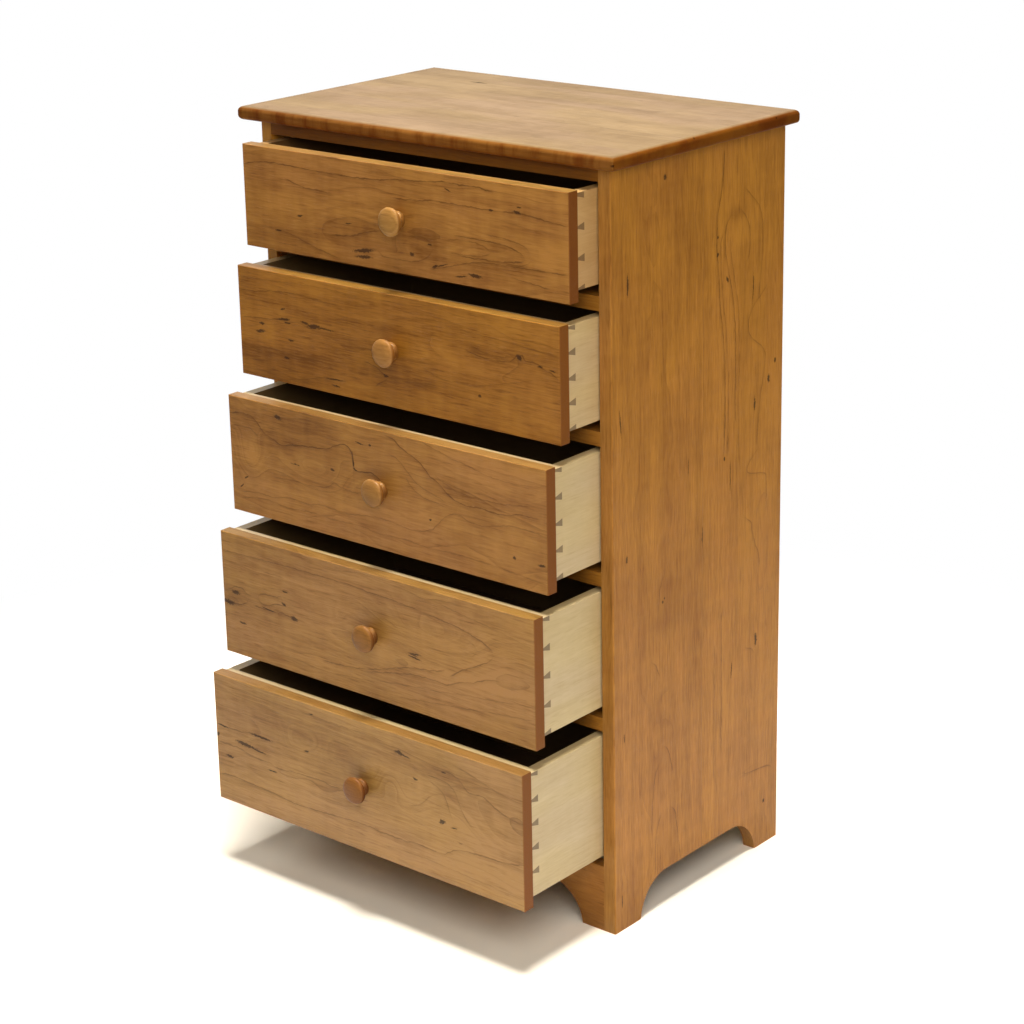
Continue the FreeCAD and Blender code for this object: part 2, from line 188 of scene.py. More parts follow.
# Solid wood: growth rings round a wandering pith, fibre streaks, pores, figure and gum flecks.
# Vector is a place on the board in metres: X along the grain, Y across the face, Z through it.
def makeWoodGroup():
    tree, given, made = newGroup(
        "solidWood",
        {
            "Vector": None, "End Grain": 0.0, "Push": 0.0, "Tone": 0.0, "Marks": 0.0, "Lines": 0.0,
            "Seed": 0.0, "Board Start": -1.0, "Board Width": 2.0, "Board Change": 0.0, "Pith Across": 0.0,
            "Pith Depth": 0.12, "Ring Gap": 0.006, "Wander": 0.02, "Rings": 0.5, "Streaks": 0.5,
            "Figure": 0.5, "Flecks": 0.5, "Light": (0.4, 0.2, 0.06, 1), "Blush": (0.4, 0.2, 0.08, 1),
            "Dark": (0.2, 0.08, 0.02, 1), "End": (0.2, 0.08, 0.02, 1), "Line": (0.1, 0.04, 0.01, 1),
            "Fleck": (0.03, 0.012, 0.006, 1),
        },
        {"Color": colorSocket, "Roughness": valueSocket, "Height": valueSocket},
    )

    # Edge-glued boards: each has its own stretch of noise, its own pith and its own tone
    parts = split(tree, given["Vector"])
    fromSeam = minus(tree, parts["Y"], given["Board Start"])
    board = calc(tree, "FLOOR", calc(tree, "DIVIDE", fromSeam, given["Board Width"]))
    boardMiddle = times(tree, plus(tree, board, 0.5), given["Board Width"])
    onBoard = minus(tree, fromSeam, boardMiddle)
    seeded = timesPlus(tree, board, 7.0, given["Seed"])
    pithShift = times(tree, minus(tree, chance(tree, seeded), 0.5), given["Board Change"])
    toneShift = chance(tree, plus(tree, seeded, 0.31))
    toneShift = times(tree, minus(tree, toneShift, 0.5), given["Board Change"])
    halfBoard = times(tree, given["Board Width"], 0.5)
    edgeGap = minus(tree, halfBoard, calc(tree, "ABSOLUTE", onBoard))
    glueLine = times(tree, remap(tree, edgeGap, glueStart, glueFull), given["Board Change"])
    offset = vectorCalc(tree, "SCALE", boardOffset, scale=seeded)
    place = vectorCalc(tree, "ADD", given["Vector"], offset)

    # Distance from the pith, pushed about by slow, middling and quick wander
    across = minus(tree, onBoard, timesPlus(tree, pithShift, pithSpread, given["Pith Across"]))
    depth = plus(tree, parts["Z"], given["Pith Depth"])
    acrossSquare = times(tree, across, across)
    radius = calc(tree, "SQRT", timesPlus(tree, depth, depth, acrossSquare))
    slow = swing(tree, place, "slowWander", 1.5)
    middling = swing(tree, place, "middlingWander", 1.0)
    quick = swing(tree, place, "quickWander")
    wander = timesPlus(tree, middling, amounts["middlingWander"], times(tree, quick, amounts["quickWander"]))
    wander = timesPlus(tree, slow, amounts["slowWander"], wander)
    radius = timesPlus(tree, wander, given["Wander"], radius)
    count = calc(tree, "DIVIDE", plus(tree, radius, given["Push"]), given["Ring Gap"])
    ring = calc(tree, "FLOOR", count)
    share = calc(tree, "FRACT", count)

    # Each ring has its own strength and ends in a dark line, which comes and goes along it
    strength = chance(tree, timesPlus(tree, seeded, 17.0, ring))
    strength = calc(tree, "POWER", strength, 1.5)
    presence = remap(tree, noise(tree, place, "ringPresence", 1.0), 0.36, 0.6, 0.15, 1.0)
    line = times(tree, calc(tree, "POWER", share, 9.0), times(tree, strength, presence))
    line = times(tree, line, given["Rings"])
    body = times(tree, times(tree, share, strength), amounts["ringBody"])

    # Narrow bands of earlier and later wood follow the rings
    inputs = {"X": parts["X"], "Y": count, "Z": seeded}
    alongRings = addNode(tree, "ShaderNodeCombineXYZ", inputs).outputs[0]
    band = swing(tree, alongRings, "ringBands", 3.0)
    grain = times(tree, timesPlus(tree, band, amounts["ringBand"], body), given["Rings"])

    # Fibres, threads and short dark dashes run along the grain, and the figure lies across it
    fine = swing(tree, place, "fibre")
    thread = swing(tree, place, "thread")
    wide = swing(tree, place, "wideStreak")
    streak = timesPlus(tree, thread, amounts["thread"], wide)
    streak = timesPlus(tree, fine, amounts["fibre"], streak)
    dash = remap(tree, noise(tree, place, "dash"), 0.55, 0.74)
    streak = times(tree, timesPlus(tree, dash, amounts["dash"], streak), given["Streaks"])
    shimmer = swing(tree, place, "shimmer")
    cloud = swing(tree, place, "cloud")
    figure = times(tree, shimmer, amounts["shimmer"])
    figure = timesPlus(tree, cloud, amounts["cloud"], figure)
    figure = times(tree, figure, given["Figure"])
    pore = remap(tree, noise(tree, place, "pore", 1.0), 0.62, 0.78)

    # Gum flecks: thin dark dashes of uneven outline in a few cells of a stretched pattern
    inputs = {"Vector": place, "Scale": 130.0, "Detail": 1.0}
    warp = addNode(tree, "ShaderNodeTexNoise", inputs).outputs["Color"]
    warped = vectorCalc(tree, "MULTIPLY_ADD", warp, (0.004, 0.004, 0.004), place)
    inputs = {"Vector": stretch(tree, warped, "fleckCells"), "Scale": 1.0}
    cells = addNode(tree, "ShaderNodeTexVoronoi", inputs)
    dice = addNode(tree, "ShaderNodeSeparateColor", {0: cells.outputs["Color"]}).outputs
    size = times(tree, calc(tree, "POWER", dice["Green"], 2.0), 0.22)
    inside = remap(tree, minus(tree, cells.outputs["Distance"], size), 0.08, 0.0)
    limit = minus(tree, 1.0, times(tree, given["Flecks"], 0.2))
    fleck = times(tree, inside, calc(tree, "GREATER_THAN", dice["Red"], limit))
    fleck = calc(tree, "MAXIMUM", fleck, given["Marks"])

    # How far each place goes from the pale wood to the dark, then the colours
    shade = plus(tree, plus(tree, plus(tree, grain, streak), figure), given["Tone"])
    base = timesPlus(tree, pore, amounts["pore"], amounts["baseTone"])
    shade = plus(tree, shade, base)
    shade = timesPlus(tree, toneShift, amounts["boardTone"], shade, clamp=True)
    blush = remap(tree, noise(tree, place, "blush", 1.0), 0.4, 0.62)
    pale = mixColor(tree, blush, given["Light"], given["Blush"])
    wood = mixColor(tree, shade, pale, given["Dark"])
    lines = calc(tree, "MAXIMUM", times(tree, line, amounts["ringLine"]), given["Lines"])
    wood = mixColor(tree, lines, wood, given["Line"])
    endWood = mixColor(tree, times(tree, shade, 0.5), given["End"], given["Dark"])
    wood = mixColor(tree, given["End Grain"], wood, endWood)
    wood = mixColor(tree, times(tree, glueLine, amounts["glueLine"]), wood, given["Fleck"])
    wood = mixColor(tree, times(tree, fleck, amounts["gum"]), wood, given["Fleck"])
    connect(tree, wood, made["Color"])

    # The marks of colour stay out of the height, which only pores, fibres and glue lines shape
    rough = timesPlus(tree, fine, 0.16, times(tree, given["End Grain"], 0.2))
    rough = timesPlus(tree, cloud, 0.1, rough)
    connect(tree, plus(tree, rough, timesPlus(tree, fleck, 0.2, 0.38)), made["Roughness"])
    relief = timesPlus(tree, pore, -0.7, times(tree, fine, 0.5))
    connect(tree, timesPlus(tree, glueLine, -0.6, relief), made["Height"])
    return tree


def makeGumGroup():
    # One dark dash of gum on a board's face, Length by Width, its outline uneven
    tree, given, made = newGroup(
        "gumMark",
        {"Vector": None, "Place": None, "Length": 0.01, "Width": 0.002, "Turn": 0.0},
        {"Mask": valueSocket},
    )
    away = vectorCalc(tree, "SUBTRACT", given["Vector"], given["Place"])
    inputs = {"Vector": away, "Angle": given["Turn"]}
    turned = addNode(tree, "ShaderNodeVectorRotate", inputs, rotation_type="Z_AXIS").outputs[0]
    parts = split(tree, turned)
    bend = times(tree, swing(tree, given["Vector"], "gumBend"), given["Width"])
    along = calc(tree, "DIVIDE", parts["X"], times(tree, given["Length"], 0.5))
    halfWidth = times(tree, given["Width"], 0.5)
    across = calc(tree, "DIVIDE", plus(tree, parts["Y"], bend), halfWidth)
    reach = calc(tree, "SQRT", timesPlus(tree, along, along, times(tree, across, across)))
    broken = times(tree, swing(tree, given["Vector"], "gumEdge"), 1.2)
    connect(tree, remap(tree, plus(tree, reach, broken), 1.35, 0.6), made["Mask"])
    return tree


def makeEyeGroup():
    # A soft hill on the board. As a swelling in the growth rings, the board's face cuts it into
    # closed rings and long tips; as a tone, it is a darker or a lighter patch.
    tree, given, made = newGroup(
        "ringEye",
        {"Vector": None, "Place": None, "Length": 0.1, "Width": 0.03, "Height": 0.02},
        {"Push": valueSocket},
    )
    away = vectorCalc(tree, "SUBTRACT", given["Vector"], given["Place"])
    parts = split(tree, away)
    along = calc(tree, "DIVIDE", parts["X"], given["Length"])
    across = calc(tree, "DIVIDE", parts["Y"], given["Width"])
    square = timesPlus(tree, along, along, times(tree, across, across))
    falloff = calc(tree, "EXPONENT", times(tree, square, -1.0))
    connect(tree, times(tree, falloff, given["Height"]), made["Push"])
    return tree


def makeLineGroup():
    # One grain line of its own course: dark where the board's place lies on it, with a softer lower side
    tree, given, made = newGroup(
        "grainLine",
        {"Vector": None, "Course": 0.0, "Course Ahead": 0.0, "Start": 0.0, "End": 1.0, "Strength": 0.5},
        {"Mask": valueSocket},
    )
    parts = split(tree, given["Vector"])
    jitter = swing(tree, given["Vector"], "lineJitter", 3.0)
    above = minus(tree, timesPlus(tree, jitter, lineSway, parts["Y"]), given["Course"])
    slope = calc(tree, "DIVIDE", minus(tree, given["Course Ahead"], given["Course"]), lookAhead)
    steepness = calc(tree, "SQRT", timesPlus(tree, slope, slope, 1.0))
    above = calc(tree, "DIVIDE", above, steepness)
    away = calc(tree, "ABSOLUTE", above)
    presence = noise(tree, given["Vector"], "lineWidth")
    width = times(tree, presence, lineWidest)
    core = remap(tree, away, width, times(tree, width, 0.15))
    soft = remap(tree, above, -lineShade, 0.0)
    soft = times(tree, soft, calc(tree, "LESS_THAN", above, 0.0))
    core = times(tree, core, remap(tree, presence, 0.3, 0.6, 0.5, 1.0))
    mask = timesPlus(tree, soft, 0.4, core)

    # It fades in and out at its ends, from a little past them
    start, end = given["Start"], given["End"]
    first, full = minus(tree, start, fadePast), plus(tree, start, fadeInside)
    begun = remap(tree, parts["X"], first, full)
    last, full = plus(tree, end, fadePast), minus(tree, end, fadeInside)
    ended = remap(tree, parts["X"], last, full)
    mask = times(tree, times(tree, mask, begun), ended)
    connect(tree, times(tree, mask, given["Strength"]), made["Mask"])
    return tree


millimetre = 0.001

# A drawn line: how far ahead its slope is measured, the height that its curve can span, how far it
# sways, its greatest width, how wide its soft side is, and its fade past the ends and inside them
lookAhead = 1.5 * millimetre
curveSpan = 250 * millimetre
lineSway = 4.5 * millimetre
lineWidest = 2.8 * millimetre
lineShade = 7.5 * millimetre
fadePast = 2 * millimetre
fadeInside = 12 * millimetre

woodGroup = makeWoodGroup()
gumGroup = makeGumGroup()
eyeGroup = makeEyeGroup()
lineGroup = makeLineGroup()

cherry = {
    "Light": (0.404, 0.174, 0.028, 1),
    "Blush": (0.401, 0.170, 0.032, 1),
    "Dark": (0.170, 0.058, 0.006, 1),
    "End": (0.190, 0.062, 0.006, 1),
    "Line": (0.098, 0.032, 0.003, 1),
    "Fleck": (0.034, 0.012, 0.002, 1),
    "bump": 0.00018,
    "specular": 0.2,
}

maple = {
    "Light": (0.675, 0.520, 0.262, 1),
    "Blush": (0.650, 0.500, 0.280, 1),
    "Dark": (0.450, 0.300, 0.115, 1),
    "End": (0.215, 0.150, 0.080, 1),
    "Line": (0.420, 0.290, 0.130, 1),
    "Fleck": (0.200, 0.120, 0.060, 1),
    "bump": 0.00012,
    "specular": 0.3,
}

birch = {
    "Light": (0.600, 0.450, 0.270, 1),
    "Blush": (0.560, 0.430, 0.280, 1),
    "Dark": (0.400, 0.260, 0.130, 1),
    "End": (0.320, 0.210, 0.110, 1),
    "Line": (0.360, 0.230, 0.110, 1),
    "Fleck": (0.150, 0.080, 0.040, 1),
    "bump": 0.00012,
    "specular": 0.3,
}


def placeOnBoard(tree, grain, centre):
    # The place from the board's centre in metres, along its grain, across its face and through it,
    # then how far the surface is end grain and which way it looks
    coordinates = addNode(tree, "ShaderNodeTexCoord").outputs
    place = vectorCalc(tree, "SUBTRACT", coordinates["Object"], centre)
    parts = split(tree, place)
    facing = split(tree, coordinates["Normal"])
    turned = {axis: parts[letter.upper()] for axis, letter in zip("XYZ", grain)}
    vector = addNode(tree, "ShaderNodeCombineXYZ", turned).outputs[0]
    endGrain = remap(tree, calc(tree, "ABSOLUTE", facing[grain[0].upper()]), 0.55, 0.85)
    return vector, endGrain, facing


def drawCourse(tree, along, points):
    # The height on the board of a curve through points, at a distance along it
    low, high = (points[index][0] * millimetre for index in (0, -1))
    node = addNode(tree, "ShaderNodeFloatCurve", {"Value": remap(tree, along, low, high, kind="LINEAR")})
    curve = node.mapping.curves[0]
    places = [((x * millimetre - low) / (high - low), y * millimetre / curveSpan + 0.5) for x, y in points]
    for place in places[1:-1]:
        curve.points.new(*place)
    curve.points[0].location = places[0]
    curve.points[-1].location = places[-1]
    for point in curve.points:
        point.handle_type = "AUTO_CLAMPED"
    node.mapping.update()
    return times(tree, minus(tree, node.outputs["Value"], 0.5), curveSpan)


def drawLines(tree, vector, lines):
    # All the grain lines of a board that have a course of their own, as one mask
    along = split(tree, vector)["X"]
    ahead = plus(tree, along, lookAhead)
    mask = None
    for strength, points in lines:
        inputs = {
            "Vector": vector, "Strength": strength,
            "Course": drawCourse(tree, along, points), "Course Ahead": drawCourse(tree, ahead, points),
            "Start": points[0][0] * millimetre, "End": points[-1][0] * millimetre,
        }
        line = addNode(tree, "ShaderNodeGroup", inputs, node_tree=lineGroup).outputs["Mask"]
        mask = calc(tree, "MAXIMUM", mask, line) if mask else line
    return mask


def addSwells(tree, vector, swells, heightUnit):
    # The sum of soft hills on the board
    total = None
    for *sizes, height in swells:
        along, across, length, width = (size * millimetre for size in sizes)
        inputs = {"Vector": vector, "Place": (along, across, 0.0), "Length": length, "Width": width,
                  "Height": height * heightUnit}
        hill = addNode(tree, "ShaderNodeGroup", inputs, node_tree=eyeGroup).outputs["Push"]
        total = plus(tree, total, hill) if total else hill
    return total


def addGum(tree, vector, marks):
    # All the gum marks of a board as one mask
    mask = None
    for *sizes, turn in marks:
        along, across, length, width = (size * millimetre for size in sizes)
        inputs = {"Vector": vector, "Place": (along, across, 0.0), "Length": length, "Width": width,
                  "Turn": math.radians(turn)}
        mark = addNode(tree, "ShaderNodeGroup", inputs, node_tree=gumGroup).outputs["Mask"]
        mask = calc(tree, "MAXIMUM", mask, mark) if mask else mark
    return mask


# A look may paint light or shade on the faces that look one way: the look's key, the axis and its sign
paintedFacingLight = (
    ("upPaintedLight", "Z", 1), ("rightPaintedShade", "X", 1), ("leftPaintedShade", "X", -1),
    ("backPaintedShade", "Y", 1), ("frontPaintedLightAndShade", "Y", -1),
)


def makeWood(name, species, look):
    # A board's own wood: its grain's direction, where the pith lay, and how strong each mark is
    material, tree, shader = newMaterial(name)
    vector, endGrain, facing = placeOnBoard(tree, look["grain"], look["centre"])
    marks = {
        "Vector": vector,
        "End Grain": endGrain,
        "Seed": look["seed"],
        "Board Start": look.get("boardStart", -1.0),
        "Board Width": look.get("boardWidth", 2.0),
        "Board Change": 1.0 if "boardWidth" in look else 0.0,
        "Pith Across": look.get("pithAcross", 0.0),
        "Pith Depth": look.get("pithDepth", 0.12),
        "Ring Gap": look.get("ringGap", 0.006),
        "Wander": look.get("wander", 0.02),
        "Rings": look.get("rings", 0.5),
        "Streaks": look.get("streaks", 0.5),
        "Figure": look.get("figure", 0.5),
        "Flecks": look.get("flecks", 0.3),
    }
    for label in ("Light", "Blush", "Dark", "End", "Line", "Fleck"):
        tint = look.get("tint", (1, 1, 1))
        if label == "End":
            tint = look.get("endTint", tint)
        plain = look.get(label, species[label])
        marks[label] = tuple(channel * change for channel, change in zip(plain, tint)) + (1,)
    if "eyes" in look:
        marks["Push"] = addSwells(tree, vector, look["eyes"], millimetre)
    if "shades" in look:
        marks["Tone"] = addSwells(tree, vector, look["shades"], 1.0)
    if "gum" in look:
        marks["Marks"] = addGum(tree, vector, look["gum"])
    if "lines" in look:
        marks["Lines"] = drawLines(tree, vector, look["lines"])
    wood = addNode(tree, "ShaderNodeGroup", marks, node_tree=woodGroup)
    bump = addNode(tree, "ShaderNodeBump", {"Height": wood.outputs["Height"], "Distance": species["bump"]})
    color = wood.outputs["Color"]
    # Painted light and shade: a tint on the faces that look one way
    for key, axis, sign in paintedFacingLight:
        if key in look:
            mask = remap(tree, times(tree, facing[axis], sign), 0.65, 0.97)
            tinted = mixColor(tree, 1.0, color, look[key] + (1,), "MULTIPLY")
            color = mixColor(tree, mask, color, tinted)
    if "edgeFigure" in look:
        # A mottle across the grain on the edges, which the upper face doesn't show
        mottle = remap(tree, noise(tree, vector, "edgeMottle", 4.0, 0.6), 0.44, 0.66)
        mottle = times(tree, mottle, remap(tree, facing["Z"], 0.95, 0.5))
        darker = mixColor(tree, 1.0, color, look["edgeFigure"] + (1,), "MULTIPLY")
        color = mixColor(tree, mottle, color, darker)
    connect(tree, color, shader.inputs["Base Color"])
    connect(tree, wood.outputs["Roughness"], shader.inputs["Roughness"])
    connect(tree, bump.outputs["Normal"], shader.inputs["Normal"])
    shader.inputs["Specular IOR Level"].default_value = look.get("specular", species["specular"])
    return material


def makeSteel():
    # Zinc plate: soft grey patches and fine rolling lines
    material, tree, shader = newMaterial("zincSteel")
    place = addNode(tree, "ShaderNodeTexCoord").outputs["Object"]
    patches = noise(tree, place, "zincPatches", 3.0)
    lines = noise(tree, place, "rollingLines", 1.0)
    tone = mixColor(tree, patches, (0.44, 0.45, 0.47, 1), (0.66, 0.67, 0.69, 1))
    connect(tree, tone, shader.inputs["Base Color"])
    connect(tree, remap(tree, lines, 0.3, 0.7, 0.28, 0.44), shader.inputs["Roughness"])
    shader.inputs["Metallic"].default_value = 1.0
    bump = addNode(tree, "ShaderNodeBump", {"Height": lines, "Distance": 0.00005})
    connect(tree, bump.outputs["Normal"], shader.inputs["Normal"])
    return material


def centreOf(node):
    low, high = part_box(node)
    return tuple((Vector(low) + Vector(high)) / 2)


# From which angle between faces an edge is sharp, and from which it gets its ease
sharpAngle = math.radians(28)
easeAngle = math.radians(40)
boardEase = 0.6 * millimetre
boxEase = 0.5 * millimetre


def dress(node, material, bevel=0.0):
    # A carried-over node gets its material, smooth curves between sharp edges, and eased arrises
    obj = nodes[node]
    obj.data.materials.clear()
    obj.data.materials.append(material)
    obj.data.shade_smooth()
    obj.data.set_sharp_from_angle(angle=sharpAngle)
    if bevel:
        ease = obj.modifiers.new("easedEdges", "BEVEL")
        ease.width = bevel
        ease.segments = 2
        ease.limit_method = "ANGLE"
        ease.angle_limit = easeAngle
        ease.harden_normals = True


# Case boards

# Marks on a board are in millimetres from its centre. Gum: along, across, length, width, turn in
# degrees. Eyes and shades: along, across, length, width, and the height in millimetres or the change
# of tone. Lines: strength, then the places (along, across) that the line passes through.
sideLook = {
    "grain": "zyx", "boardStart": 0.006, "boardWidth": 0.23, "rings": 0.45, "streaks": 0.65, "figure": 0.45,
    "flecks": 0.1, "ringGap": 0.008, "pithAcross": 0.016, "pithDepth": 0.09, "wander": 0.02,
    # The tint on the side's front edge is painted light
    "tint": (1.21, 1.17, 0.83), "frontPaintedLightAndShade": (0.9, 0.97, 1.6),
    "gum": ((571, -91, 9, 6.4, 0), (427, -182, 34, 3.6, 0), (222, -201, 40, 2.6, 6), (456, 42, 5, 3.5, 0),
        (429, 42, 7, 6, 0), (386, 68, 11, 4.5, 25), (358, 137, 46, 2.4, -3), (203, 182, 13, 5.5, 0),
        (170, 144, 22, 4.2, 0), (229, 199, 9, 4.2, 0), (100, 63, 7, 4.2, 0), (112, -32, 24, 1.8, 0),
        (65, 79, 50, 2.2, 0), (6, -187, 11, 4.6, 0), (-89, -98, 5, 4.2, 0), (-84, -93, 4, 3.2, 0),
        (-230, 153, 21, 6.2, 0), (-262, 86, 26, 3, -4), (-282, -196, 14, 2.4, 0), (-527, 181, 7, 6, 0),
        (-555, -203, 24, 2.2, 0)),
    "shades": ((484, 90, 14, 20, 0.42), (450, 100, 25, 22, -0.24), (-122, -92, 16, 35, 0.16),
        (-62, -83, 16, 14, 0.15), (-430, 150, 30, 50, 0.12), (500, 30, 130, 20, -0.1)),
    "lines": (
        (0.65, ((100, 62), (180, 64), (250, 63), (300, 58), (345, 50), (400, 45), (450, 40), (490, 42),
            (520, 50), (560, 57), (590, 58))),
        (0.51, ((100, 72), (200, 73), (260, 70), (310, 65), (350, 58), (400, 52), (440, 50), (462, 57))),
        (0.58, ((150, 92), (250, 92), (300, 90), (340, 86), (380, 76), (410, 68), (440, 62), (468, 64),
            (487, 80))),
        (0.43, ((100, 100), (200, 101), (290, 100), (340, 97), (370, 90), (400, 83), (430, 77), (455, 76))),
        (0.43, ((330, 150), (380, 158), (430, 162), (480, 155), (510, 135), (522, 112))),
        (0.43, ((400, 120), (430, 128), (460, 125), (480, 112), (492, 98))),
        (0.43, ((100, 150), (180, 160), (240, 172), (300, 180), (360, 178))),
        (0.51, ((-110, 162), (-80, 158), (-65, 150), (-40, 141), (-25, 137), (-15, 128), (-10, 120))),
        (0.43, ((0, 180), (45, 178), (65, 170), (95, 155))),
        (0.58, ((-255, 150), (-243, 142), (-235, 133), (-232, 124))),
        (0.58, ((-476, 206), (-467, 190), (-456, 172), (-450, 158))),
        (0.58, ((-400, 59), (-300, 59), (-150, 58))),
        (0.43, ((-440, 39), (-330, 39), (-200, 40))),
        (0.51, ((-545, -50), (-505, -56), (-470, -62), (-448, -68), (-438, -80))),
        (0.43, ((-545, -118), (-500, -117), (-465, -112), (-440, -100))),
        (0.51, ((-385, -70), (-360, -77), (-345, -82), (-335, -88), (-327, -99))),
        (0.43, ((-470, -127), (-400, -122), (-375, -118), (-360, -110), (-353, -104))),
        (0.51, ((-212, -104), (-200, -110), (-185, -118), (-178, -128))),
        (0.43, ((-105, -108), (-80, -107), (-55, -100), (-42, -90))),
    ),
}

for seed, node in ((3.0, "right_side"), (8.0, "left_side")):
    dress(node, makeWood(node, cherry, dict(sideLook, seed=seed, centre=centreOf(node))))

railLook = {"grain": "xyz", "rings": 0.4, "streaks": 0.7, "figure": 0.4, "flecks": 0.2, "ringGap": 0.008,
            "tint": (0.95, 0.90, 0.70)}

for seed, node in enumerate(("divider_1", "divider_2", "divider_3", "divider_4"), 11):
    dress(node, makeWood(node, cherry, dict(railLook, seed=seed, centre=centreOf(node))), boardEase)

# The top rail's dark tint is painted shade from the top's overhang
topRailPaintedShadeLook = dict(railLook, seed=15.0, tint=(0.56, 0.47, 0.22), centre=centreOf("top_front_rail"))
dress("top_front_rail", makeWood("topFrontRail", cherry, topRailPaintedShadeLook), boardEase)

apronLook = {"grain": "xzy", "seed": 21.0, "rings": 0.5, "streaks": 0.7, "figure": 0.4, "flecks": 0.3,
             "tint": (0.89, 0.82, 0.72)}
dress("front_apron", makeWood("frontApron", cherry, dict(apronLook, centre=centreOf("front_apron"))))

# The tint on the upper face and the paler Dark are painted sheen, in place of a specular level that stays
# low
topLook = {
    "grain": "xyz", "seed": 31.0, "boardStart": -0.059, "boardWidth": 0.118, "rings": 0.35, "streaks": 0.45,
    "figure": 0.6, "flecks": 0.4, "ringGap": 0.010, "pithDepth": 0.2, "tint": (0.62, 0.55, 0.58),
    "endTint": (0.93, 0.88, 0.62), "upPaintedLight": (1.13, 1.88, 4.75), "Dark": (0.21, 0.083, 0.013),
    "edgeFigure": (0.66, 0.50, 0.36), "specular": 0.03,
}
dress("top", makeWood("topBoard", cherry, dict(topLook, centre=centreOf("top"))))

hiddenLook = {"grain": "xyz", "rings": 0.4, "streaks": 0.5, "figure": 0.3, "flecks": 0.1}
for seed, node in ((41.0, "top_rear_rail"), (42.0, "rear_bottom_rail")):
    dress(node, makeWood(node, maple, dict(hiddenLook, seed=seed, centre=centreOf(node))), boardEase)
blockLook = dict(hiddenLook, grain="zxy", seed=43.0, centre=centreOf("glue_blocks"))
dress("glue_blocks", makeWood("glueBlocks", maple, blockLook), boardEase)
backLook = {"grain": "zxy", "seed": 44.0, "rings": 0.5, "streaks": 0.5, "figure": 0.3, "flecks": 0.0}
dress("back_panel", makeWood("backPanel", birch, dict(backLook, centre=centreOf("back_panel"))))

steel = makeSteel()
for node in ("case_runners", "top_screws"):
    dress(node, steel)
print("case dressed")
